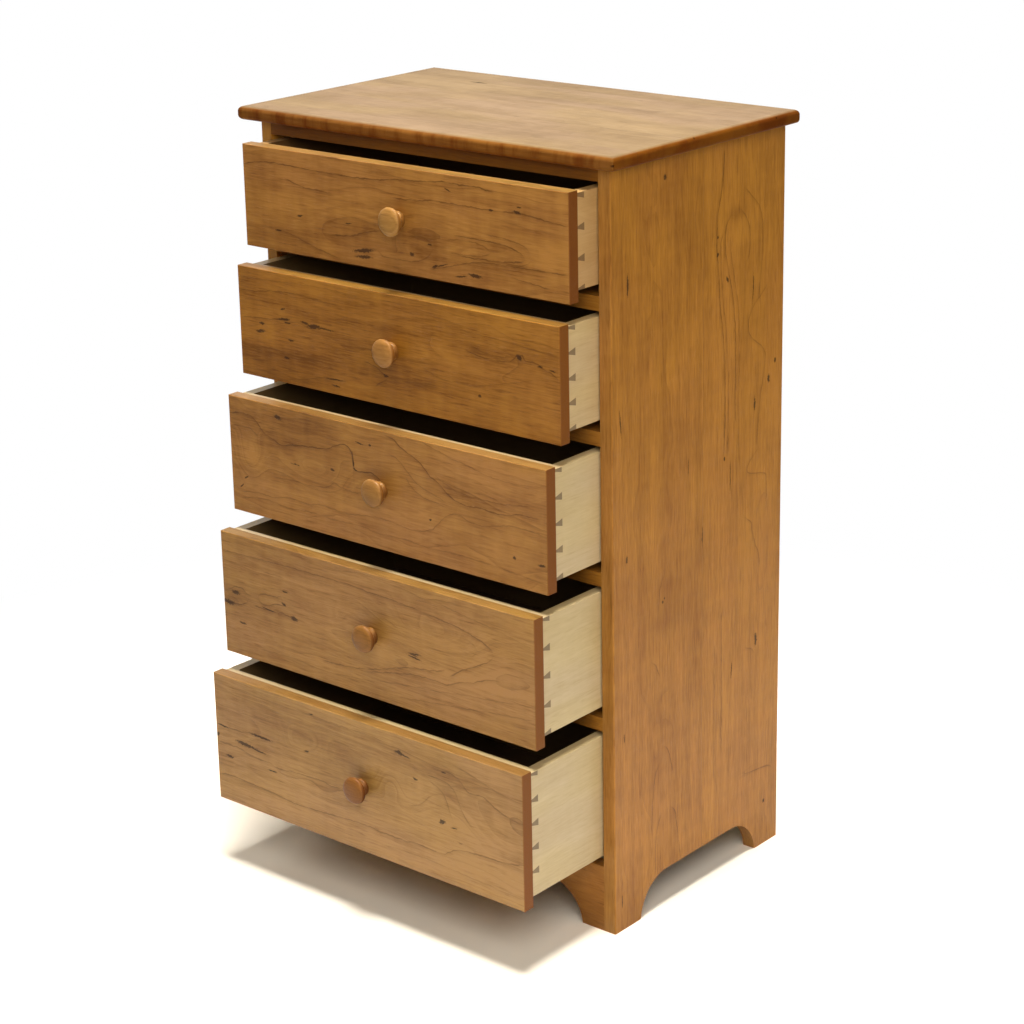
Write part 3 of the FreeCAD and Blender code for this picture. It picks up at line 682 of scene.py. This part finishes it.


# Drawers

# Each front's tint also carries painted sheen, bluer towards the bottom drawer where the white floor is
# reflected, and the tint on its upper edge is painted light
frontLooks = ({
    "seed": 51.0, "pithAcross": -0.03, "pithDepth": 0.05, "wander": 0.02, "rings": 0.75, "flecks": 0.15,
    "tint": (1.02, 1.03, 1.21), "endTint": (0.78, 0.64, 0.13), "upPaintedLight": (0.72, 0.86, 1.0),
    "eyes": ((33, -37, 30, 14, 12), (150, -36, 90, 16, 12)),
    "gum": ((-73, -56, 42, 6, -8), (-70, -56, 20, 6, -8), (-73, -66, 34, 5, -4), (232, 41, 14, 5, 10),
        (236, 49, 9, 2.2, 0), (183, 38, 9, 3, 0), (72, -61, 14, 4.4, -20), (86, -57, 22, 2, -18),
        (149, -64, 26, 4.8, 4), (122, -69, 22, 2.4, -8), (26, -48, 8, 5.4, 0), (62, -29, 8, 3, 0),
        (-206, -19, 13, 3, -10), (-103, -18, 12, 2.2, -8), (-254, -48, 12, 2.6, 0), (100, 58, 13, 2.2, 20)),
    # The first two shades are the knob's painted shadow, below it and to the right
    "shades": ((45, -35, 50, 30, 0.6), (20, -26, 20, 20, 0.15), (-290, -60, 60, 30, 0.12),
        (-205, 48, 50, 26, -0.26), (-250, -45, 100, 30, 0.2), (160, 50, 80, 30, 0.18),
        (-220, 50, 120, 25, -0.16)),
    "lines": (
        (0.68, ((-326, 50), (-285, 57), (-240, 58), (-190, 56), (-100, 55), (-40, 57), (0, 62), (50, 65),
            (90, 69), (150, 69), (190, 66))),
        (0.61, ((-238, 38), (-222, 33), (-200, 28), (-170, 26), (-135, 25))),
        (0.61, ((-10, 33), (20, 34), (50, 36), (75, 39), (180, 38), (235, 40), (290, 35), (326, 32))),
        (0.68, ((-150, -41), (-120, -39), (-95, -36), (-75, -29), (-55, -24), (-38, -21))),
        (0.47, ((-250, -48), (-230, -50), (-200, -58), (-170, -66), (-150, -70), (-120, -77))),
        (0.68, ((110, -8), (180, -9), (210, -11), (230, -16), (241, -21), (247, -27))),
        (0.68, ((120, -38), (200, -36), (225, -33), (240, -30), (247, -27))),
        (0.47, ((170, 1), (220, -2), (245, -8), (255, -17), (258, -26))),
        (0.47, ((205, -39), (230, -38), (247, -34), (258, -27))),
        (0.41, ((90, -17), (140, -13), (165, -17), (176, -21), (182, -25))),
        (0.41, ((100, -36), (150, -34), (172, -30), (182, -25))),
        (0.61, ((60, -66), (100, -57), (130, -48), (165, -42), (230, -40), (300, -39), (326, -38))),
        (0.54, ((218, -57), (255, -60), (292, -64))),
        (0.47, ((14, -24), (30, -20), (45, -19), (57, -22), (64, -27), (68, -34))),
        (0.47, ((-46, -46), (-38, -56), (-20, -60), (15, -60), (40, -56), (58, -47), (68, -35))),
    ),
}, {
    "seed": 52.0, "pithAcross": 0.02, "pithDepth": 0.06, "wander": 0.02, "rings": 0.65, "flecks": 0.25,
    "streaks": 0.8, "tint": (0.92, 0.87, 0.59), "endTint": (0.94, 0.85, 0.27), "upPaintedLight": (0.83, 1.0, 1.6),
    "eyes": ((-200, -20, 80, 20, 22), (180, 20, 100, 20, 20)),
    "gum": ((-162, 13, 30, 6.4, -4), (-140, 13, 40, 2.6, 2), (-182, 16, 18, 3.8, 8), (-281, -12, 19, 6, -8),
        (-277, 1, 11, 3.8, 0), (-225, -47, 11, 4, 0), (-230, 31, 11, 2.6, -14), (-228, 15, 26, 4, -6),
        (-220, 10, 13, 3, 0), (-214, -17, 13, 3, 0), (-123, -65, 32, 2.6, -3), (-120, -75, 18, 2.6, 4),
        (251, 31, 11, 6, 30), (290, 24, 9, 3.4, 0), (313, 21, 11, 2.4, 10), (174, -40, 6, 5.2, 0),
        (-13, -41, 10, 4.4, 0)),
    "shades": ((-220, -45, 130, 40, 0.34), (-120, 40, 45, 35, 0.2), (30, -48, 80, 32, 0.24),
        (125, -45, 40, 30, 0.2), (290, -40, 40, 40, -0.16)),
    "lines": (
        (0.5, ((-326, 50), (-285, 52), (-255, 57), (-200, 60), (-160, 57), (-110, 55))),
        (0.55, ((-326, 5), (-290, 9), (-250, 12), (-225, 16), (-212, 18))),
        (0.35, ((-326, -38), (-250, -38), (-200, -41), (-150, -40))),
        (0.4, ((-315, -42), (-290, -43), (-278, -46), (-271, -51))),
        (0.4, ((-305, -61), (-285, -60), (-275, -57), (-271, -51))),
        (0.35, ((-326, -84), (-250, -84), (-200, -78), (-165, -70), (-130, -62))),
        (0.4, ((-150, -68), (-120, -65), (-92, -64))),
        (0.6, ((-62, -25), (-40, -28), (-28, -32), (-20, -38), (-14, -39), (-6, -41))),
        (0.6, ((-40, -61), (-25, -53), (-12, -46), (-6, -41))),
        (0.3, ((-8, -41), (30, -43), (75, -38), (95, -40))),
        (0.4, ((-118, 27), (-90, 30), (-52, 27))),
        (0.6, ((145, 28), (170, 22), (200, 20), (228, 21), (240, 27), (249, 35), (256, 35), (262, 29),
            (280, 28), (300, 20), (312, 17), (326, 9))),
        (0.4, ((155, 36), (185, 28), (215, 26), (238, 31))),
        (0.3, ((-326, 71), (-250, 74), (-150, 78), (-60, 75))),
        (0.3, ((40, 60), (90, 62), (150, 55), (210, 52), (326, 44))),
        (0.3, ((60, -15), (110, -27), (150, -27), (200, -18), (280, 2))),
    ),
}, {
    "seed": 53.0, "pithAcross": -0.02, "pithDepth": 0.05, "wander": 0.026, "rings": 0.8, "flecks": 0.1,
    "figure": 0.75, "tint": (1.0, 1.05, 1.3), "endTint": (0.92, 0.78, 0.18), "upPaintedLight": (0.72, 0.81, 0.98),
    "eyes": ((-281, 2, 30, 45, 45), (-130, 10, 80, 35, 30), (100, 40, 100, 50, -30)),
    "gum": ((-217, 78, 16, 5.8, 16), (-101, 14, 9, 4, 10), (-42, 68, 15, 2.4, 10), (-20, 69, 5, 3.2, 0),
        (-56, 34, 14, 3.4, 84), (-53, 24, 8, 3.4, 20), (264, -51, 6, 5, 0), (316, -52, 13, 4.4, -8),
        (100, -26, 5, 3, 0), (-294, -36, 10, 2.8, -30), (-305, -52, 10, 2.4, -40)),
    "shades": ((-220, 58, 120, 32, 0.34), (-125, 55, 50, 30, 0.3), (-300, 60, 50, 30, 0.12),
        (-277, 12, 10, 28, -0.36), (-305, -30, 20, 16, 0.16), (120, -50, 160, 40, -0.16),
        (220, 45, 90, 40, -0.16)),
    "lines": (
        (0.8, ((-326, 66), (-310, 70), (-285, 71), (-270, 66), (-260, 57), (-252, 49), (-240, 43),
            (-225, 38), (-208, 33), (-196, 36), (-170, 40), (-130, 44), (-108, 47), (-97, 53), (-85, 58),
            (-76, 60), (-68, 58), (-61, 53), (-57, 45), (-55.5, 34), (-54, 24), (-50, 22), (-35, 23),
            (-20, 25), (-10, 22), (0, 16), (8, 8))),
        (0.65, ((10, 92), (30, 87), (45, 77), (62, 70), (80, 62), (92, 52), (102, 43), (118, 36), (130, 26),
            (142, 19), (155, 14), (175, 11), (200, 13), (230, 11), (255, 14), (280, 19), (315, 18))),
        (0.4, ((85, 95), (120, 86), (150, 79), (180, 74), (215, 66), (260, 64), (326, 70))),
        (0.4, ((50, 36), (57, 26), (66, 17), (78, 10), (95, 5), (110, 4), (135, 0))),
        (0.35, ((15, 64), (40, 55), (55, 42), (70, 30), (85, 22), (105, 17), (135, 7))),
        (0.35, ((110, 48), (130, 38), (160, 29), (200, 27), (240, 28), (300, 36))),
        (0.4, ((-232, -23), (-205, -22), (-190, -20), (-160, -22), (-135, -20), (-115, -17), (-106, -12),
            (-98, -7), (-85, -11), (-60, -14), (-38, -11))),
        (0.4, ((-310, -62), (-265, -57), (-235, -58), (-200, -52), (-160, -54), (-130, -49), (-80, -52),
            (-40, -48), (0, -45), (60, -50), (100, -42), (112, -33), (122, -22), (135, -12), (155, -6),
            (175, -12), (200, -14), (230, -8), (270, -2), (326, -6))),
        (0.35, ((-310, -73), (-250, -65), (-200, -69), (-150, -66), (-100, -68), (-50, -66), (-10, -70),
            (50, -69), (100, -72), (150, -70), (220, -72), (326, -80))),
        (0.35, ((-326, 45), (-305, 49), (-285, 49), (-268, 42), (-258, 34))),
    ),
}, {
    "seed": 54.0, "pithAcross": 0.0, "pithDepth": 0.06, "wander": 0.02, "rings": 0.8, "flecks": 0.15,
    "figure": 0.6, "streaks": 0.7, "tint": (0.98, 1.12, 1.58), "endTint": (1.0, 0.9, 0.4),
    "upPaintedLight": (0.72, 0.76, 0.72),
    "eyes": ((130, 35, 110, 35, 55), (-101, 14, 40, 15, 20)),
    "gum": ((-298, 4, 18, 7.4, 0), (-316, -16, 26, 8.6, 4), (-285, -46, 15, 3.8, 0), (-189, 8, 10, 4, 30),
        (-167, -11, 15, 6.2, 10), (89, -14, 26, 2.6, 6), (86, -10, 18, 2, 8), (-185, 30, 12, 2.4, 0),
        (-225, -9, 30, 2.2, 6)),
    "shades": ((190, 0, 120, 90, -0.28), (-205, -10, 45, 7, 0.4), (-305, -8, 30, 12, 0.3),
        (-218, 8, 28, 5, -0.2)),
    "lines": (
        (0.5, ((-326, 71), (-250, 73), (-150, 75), (-50, 75), (0, 72), (50, 70), (100, 66), (150, 61),
            (195, 54), (220, 47), (236, 41), (244, 36), (248, 29))),
        (0.5, ((-110, -67), (-50, -63), (0, -55), (30, -47), (60, -37), (100, -29), (135, -24),
            (152, -18))),
        (0.5, ((157, -29), (170, -20), (185, -10), (205, -1), (222, 8), (238, 17), (245, 24), (248, 29))),
        (0.5, ((-20, -63), (30, -53), (60, -47), (90, -42), (130, -41), (150, -42), (165, -38), (180, -31),
            (200, -27), (230, -15), (262, -8))),
        (0.35, ((185, 43), (202, 40), (212, 34), (217, 27))),
        (0.35, ((192, 15), (206, 18), (217, 27))),
        (0.55, ((-249, 4), (-245, 11), (-236, 15), (-220, 17), (-205, 17), (-197, 20), (-190, 12))),
        (0.55, ((-249, 4), (-240, -1), (-228, -3), (-212, 3), (-198, 5), (-184, 7))),
        (0.6, ((-320, 4), (-308, 9), (-298, 14), (-284, 14), (-272, 7), (-262, 5))),
        (0.6, ((-326, -17), (-300, -16), (-284, -13), (-274, -8), (-268, 2))),
        (0.6, ((-262, -9), (-230, -10), (-200, -7), (-182, -9), (-165, -13), (-152, -10))),
        (0.4, ((-222, 29), (-192, 32), (-172, 33))),
        (0.35, ((120, 90), (160, 84), (200, 78), (260, 70), (326, 57))),
        (0.3, ((0, -73), (60, -65), (130, -58), (200, -48), (260, -42), (326, -34))),
        (0.35, ((50, -88), (130, -78), (200, -70), (260, -62), (326, -56))),
        (0.3, ((-250, -82), (-180, -80), (-100, -84), (-50, -80), (10, -74))),
        (0.4, ((24, 36), (34, 35), (46, 31), (58, 26))),
        (0.35, ((-235, 53), (-205, 54), (-185, 53))),
    ),
}, {
    "seed": 55.0, "pithAcross": 0.03, "pithDepth": 0.05, "wander": 0.022, "rings": 0.8, "flecks": 0.2,
    "figure": 0.6, "tint": (1.0, 1.22, 1.96), "endTint": (1.0, 0.88, 0.43), "upPaintedLight": (0.65, 0.62, 0.52),
    "eyes": ((60, 18, 22, 22, 30), (178, 20, 70, 45, 35), (-126, 41, 50, 25, 30)),
    "gum": ((80, 81, 17, 7, 0), (90, 79, 24, 2.8, 8), (113, 46, 10, 3.4, 10), (166, -10, 13, 7, -16),
        (171, 73, 9, 2.6, 0), (-258, 1, 48, 5.6, 4), (-232, -2, 36, 2.6, 4), (-222, 24, 46, 4.2, 2),
        (-298, -30, 17, 4.2, 0), (-200, -29, 20, 2.8, 0), (-120, 28, 11, 3, -10), (-106, 95, 9, 2.2, 0),
        (-324, 3, 9, 7, 0), (-310, 21, 24, 2.8, 6), (190, -14, 13, 2, -6)),
    "shades": ((-200, 50, 200, 45, 0.14), (250, 0, 90, 100, -0.18), (0, -80, 300, 30, -0.18),
        (-260, 2, 50, 12, 0.14)),
    "lines": (
        (0.5, ((-326, -67), (-290, -64), (-250, -66), (-200, -68), (-150, -72), (-100, -70), (-50, -66),
            (0, -64), (50, -66), (85, -66), (110, -63), (160, -65), (178, -58), (192, -50), (215, -45),
            (250, -43), (290, -41), (326, -34))),
        (0.5, ((-326, -9), (-280, -9), (-250, -14), (-225, -16), (-205, -16), (-190, -20), (-175, -20),
            (-155, -17), (-120, -16), (-90, -14), (-65, -18), (-45, -15))),
        (0.45, ((-326, 22), (-310, 21), (-290, 21), (-265, 22), (-245, 25), (-220, 25), (-195, 21))),
        (0.35, ((-130, 94), (-50, 92), (10, 93), (50, 90))),
        (0.5, ((140, 72), (160, 74), (178, 76), (195, 73), (207, 66), (216, 57), (228, 54), (245, 56),
            (258, 52), (275, 43), (295, 37), (326, 31))),
        (0.4, ((135, 61), (165, 59), (185, 54), (195, 45), (201, 32), (208, 18), (218, 5), (228, -3))),
        (0.35, ((140, 52), (158, 46), (170, 37), (178, 22), (183, 8), (190, -4))),
        (0.4, ((185, 93), (220, 86), (250, 78), (280, 71), (326, 65))),
        (0.3, ((95, -2), (112, 1), (125, 9), (135, 19), (150, 31))),
        (0.3, ((-40, -81), (-20, -81), (6, -83))),
        (0.25, ((40, -86), (120, -83), (200, -86), (326, -92))),
        (0.3, ((-280, 55), (-220, 56), (-150, 56), (-100, 50))),
    ),
})

knobLook = {"grain": "xzy", "rings": 0.6, "streaks": 0.6, "figure": 0.15, "flecks": 0.0, "ringGap": 0.0035,
            "wander": 0.006, "specular": 0.15}
knobTints = (
    (1.02, 1.17, 1.5), (0.95, 1.01, 1.2), (0.84, 0.90, 1.12), (0.69, 0.68, 0.80), (0.57, 0.50, 0.50),
)

# Each board of a drawer's box with its grain and the key of the painted shade for the face that looks into
# the drawer
boxBoards = (
    ("left", "yzx", "rightPaintedShade"), ("right", "yzx", "leftPaintedShade"),
    ("front", "xzy", "backPaintedShade"), ("back", "xzy", "frontPaintedLightAndShade"),
)
boxLook = {"rings": 0.3, "streaks": 0.4, "figure": 0.35, "flecks": 0.0, "ringGap": 0.007, "wander": 0.02}
# Painted shade darkens the drawer bottoms and the box faces that look into the drawer
paintedShadeBottomLook = {"grain": "xyz", "rings": 0.5, "streaks": 0.4, "figure": 0.3, "flecks": 0.0,
              "tint": (0.30, 0.23, 0.17)}
paintedInsideShade = (0.30, 0.24, 0.18)
# Each drawer's box tone; the first drawer's box is darker with painted shade from the case
boxTonesAndShade = (
    (0.80, 0.62, 0.45), (0.91, 0.84, 0.76), (0.90, 0.87, 0.84), (0.90, 0.88, 0.85), (0.88, 0.86, 0.84),
)


def knobProfile():
    # (radius, distance from the drawer's front), as shares of the radius and of the projection
    return (
        (0.0, 0.0), (0.60, 0.0), (0.638, 0.03), (0.65, 0.09), (0.64, 0.165), (0.58, 0.25), (0.49, 0.33),
        (0.45, 0.40), (0.475, 0.45), (0.60, 0.497), (0.80, 0.535), (0.92, 0.575), (0.98, 0.635), (1.0, 0.71),
        (0.985, 0.785), (0.93, 0.85), (0.84, 0.90), (0.70, 0.94), (0.50, 0.972), (0.25, 0.993), (0.0, 1.0),
    )


knobSteps = 64


def makeKnob(body, material):
    # A smooth turned knob in the place of the faceted one
    node = body + "_knob"
    low, high = (Vector(corner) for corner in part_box(node))
    centre = (low + high) / 2
    radius = (high.x - low.x) / 2
    projection = high.y - low.y
    mesh = bmesh.new()
    rings = []
    for radiusShare, outShare in knobProfile():
        y = high.y - outShare * projection
        if radiusShare == 0.0:
            rings.append([mesh.verts.new((centre.x, y, centre.z))])
            continue
        ring = []
        reach = radius * radiusShare
        for step in range(knobSteps):
            angle = 2 * math.pi * step / knobSteps
            across, up = reach * math.cos(angle), reach * math.sin(angle)
            ring.append(mesh.verts.new((centre.x + across, y, centre.z + up)))
        rings.append(ring)
    for near, far in zip(rings, rings[1:]):
        for step in range(knobSteps):
            after = (step + 1) % knobSteps
            corners = [near[step % len(near)], near[after % len(near)],
                       far[after % len(far)], far[step % len(far)]]
            mesh.faces.new(list(dict.fromkeys(corners)))
    bmesh.ops.recalc_face_normals(mesh, faces=mesh.faces)
    data = bpy.data.meshes.new(body + "_turnedKnob")
    mesh.to_mesh(data)
    mesh.free()
    data.shade_smooth()
    data.materials.append(material)
    knob = addObject(body + "_turnedKnob", data)
    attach(knob, body)
    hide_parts(node)


for index, frontLook in enumerate(frontLooks):
    body = f"drawer_{index + 1}"
    front = body + "_front"
    look = {"grain": "xzy", "streaks": 0.6, "figure": 0.95, "ringGap": 0.012, "centre": centreOf(front)}
    look.update(frontLook)
    dress(front, makeWood(front, cherry, look))
    knob = body + "_knob"
    turnedLook = dict(knobLook, seed=60.0 + index, centre=centreOf(knob), tint=knobTints[index])
    makeKnob(body, makeWood(knob, cherry, turnedLook))
    for order, (part, grain, insideFace) in enumerate(boxBoards):
        node = f"{body}_box_{part}"
        boardLook = dict(boxLook, grain=grain, seed=70.0 + 4 * index + order, centre=centreOf(node))
        boardLook["tint"] = boxTonesAndShade[index]
        boardLook[insideFace] = paintedInsideShade
        dress(node, makeWood(node, maple, boardLook), boxEase)
    node = body + "_bottom"
    dress(node, makeWood(node, birch, dict(paintedShadeBottomLook, seed=90.0 + index, centre=centreOf(node))))
    for part in ("runners", "screws"):
        dress(f"{body}_{part}", steel)
print("drawers dressed")


# Studio

# The floor reaches so far each way. The camera sees a warm tone near the chest, which is painted light
# bounced from the wood into the shadow, its plain tone from there on, and pure white at the end of the
# shadow; each pair is a start and an end.
floorReach = 14.0
paintedBounceNear, paintedBounceFar = 0.4, 0.9
whiteNear, whiteFar = 0.9, 1.6
floorTones = {"bounced": (0.80, 0.80, 0.80, 1), "near": (1.12, 1.01, 0.83, 1), "far": (1.08, 1.03, 0.96, 1)}


def makeFloor():
    # A white floor that keeps the shadow close to the chest and runs into white away from it
    data = bpy.data.meshes.new("studioFloor")
    corners = [(x * floorReach, y * floorReach, 0) for x, y in ((-1, -1), (1, -1), (1, 1), (-1, 1))]
    data.from_pydata(corners, [], [(0, 1, 2, 3)])
    material, tree, shader = newMaterial("studioFloor")
    light = addNode(tree, "ShaderNodeLightPath").outputs
    place = addNode(tree, "ShaderNodeTexCoord").outputs["Object"]
    away = addNode(tree, "ShaderNodeVectorMath", {0: place}, operation="LENGTH").outputs["Value"]
    shown = mixColor(tree, remap(tree, away, paintedBounceNear, paintedBounceFar), floorTones["near"], floorTones["far"])
    tone = mixColor(tree, light["Is Camera Ray"], floorTones["bounced"], shown)
    connect(tree, tone, shader.inputs["Base Color"])
    shader.inputs["Roughness"].default_value = 0.8
    shader.inputs["Specular IOR Level"].default_value = 0.0
    seen = times(tree, remap(tree, away, whiteNear, whiteFar), light["Is Camera Ray"])
    glow = addNode(tree, "ShaderNodeEmission", {"Color": (1, 1, 1, 1), "Strength": 1.0}).outputs[0]
    both = addNode(tree, "ShaderNodeMixShader", {0: seen, 1: shader.outputs[0], 2: glow}).outputs[0]
    connect(tree, both, tree.nodes["Material Output"].inputs["Surface"])
    data.materials.append(material)
    addObject("studioFloor", data)


fillColor = (1.0, 0.90, 0.74, 1)
fillStrength = 0.07


def makeWorld():
    # White where the camera and reflections look, and a faint fill for everything else
    world = bpy.data.worlds.new("studioWorld")
    bpy.context.scene.world = world
    world.use_nodes = True
    tree = world.node_tree
    light = addNode(tree, "ShaderNodeLightPath").outputs
    shown = calc(tree, "MAXIMUM", light["Is Camera Ray"], light["Is Glossy Ray"])
    shown = calc(tree, "MAXIMUM", shown, light["Is Transmission Ray"])
    background = tree.nodes["Background"]
    connect(tree, mixColor(tree, shown, fillColor, (1, 1, 1, 1)), background.inputs["Color"])
    connect(tree, remap(tree, shown, 0.0, 1.0, fillStrength, 1.0, "LINEAR"), background.inputs["Strength"])


def makeLamp(name, lamp):
    data = bpy.data.lights.new(name, "AREA")
    data.shape = "DISK"
    data.size = lamp["size"]
    data.energy = lamp["power"]
    data.spread = math.radians(lamp["spread"])
    holder = addObject(name, data)
    holder.location = lamp["place"]
    holder.rotation_mode = "QUATERNION"
    aim = Vector(lamp["target"]) - Vector(lamp["place"])
    holder.rotation_quaternion = aim.to_track_quat("-Z", "Y")


# Sizes and places in metres, the spread in degrees and the power in watts
lamps = {
    "overheadKey": {
        "place": (0.45, -0.35, 8.2), "target": (0.1, -0.3, 0), "size": 2.7, "spread": 45, "power": 79,
    },
    "cornerSoftbox": {
        "place": (2.2, -2.3, 2.6), "target": (0, 0, 0.6), "size": 2.0, "spread": 180, "power": 64,
    },
    "rightSoftbox": {
        "place": (3.2, -0.6, 2.8), "target": (0, 0, 0.7), "size": 2.0, "spread": 180, "power": 14,
    },
    "leftSoftbox": {
        "place": (-2.6, 0.2, 3.0), "target": (0, 0, 0.3), "size": 2.0, "spread": 180, "power": 16,
    },
}


def makeCamera():
    # The photograph's own viewpoint, worked out from the chest's edges
    azimuth, elevation, roll = (math.radians(angle) for angle in (40.237, 17.385, -1.114))
    place = (2.5217, -2.9056, 1.9172)
    focalPixels = 2535.22
    middleRow = 440.0
    imageSize = 1024
    back = Vector((math.sin(azimuth) * math.cos(elevation), -math.cos(azimuth) * math.cos(elevation),
                   math.sin(elevation)))
    level = Vector((math.cos(azimuth), math.sin(azimuth), 0))
    upright = back.cross(level)
    right = level * math.cos(roll) + upright * math.sin(roll)
    up = upright * math.cos(roll) - level * math.sin(roll)
    data = bpy.data.cameras.new("camera")
    data.sensor_width = 36.0
    data.lens = focalPixels / imageSize * data.sensor_width
    data.shift_y = (middleRow - imageSize / 2) / imageSize
    data.clip_end = 100.0
    camera = addObject("camera", data)
    turn = Matrix((right, up, back)).transposed().to_4x4()
    camera.matrix_world = Matrix.Translation(place) @ turn
    bpy.context.scene.camera = camera


makeFloor()
makeWorld()
for name, lamp in lamps.items():
    makeLamp(name, lamp)
makeCamera()
bpy.context.scene.view_settings.view_transform = "Standard"
print("studio made")
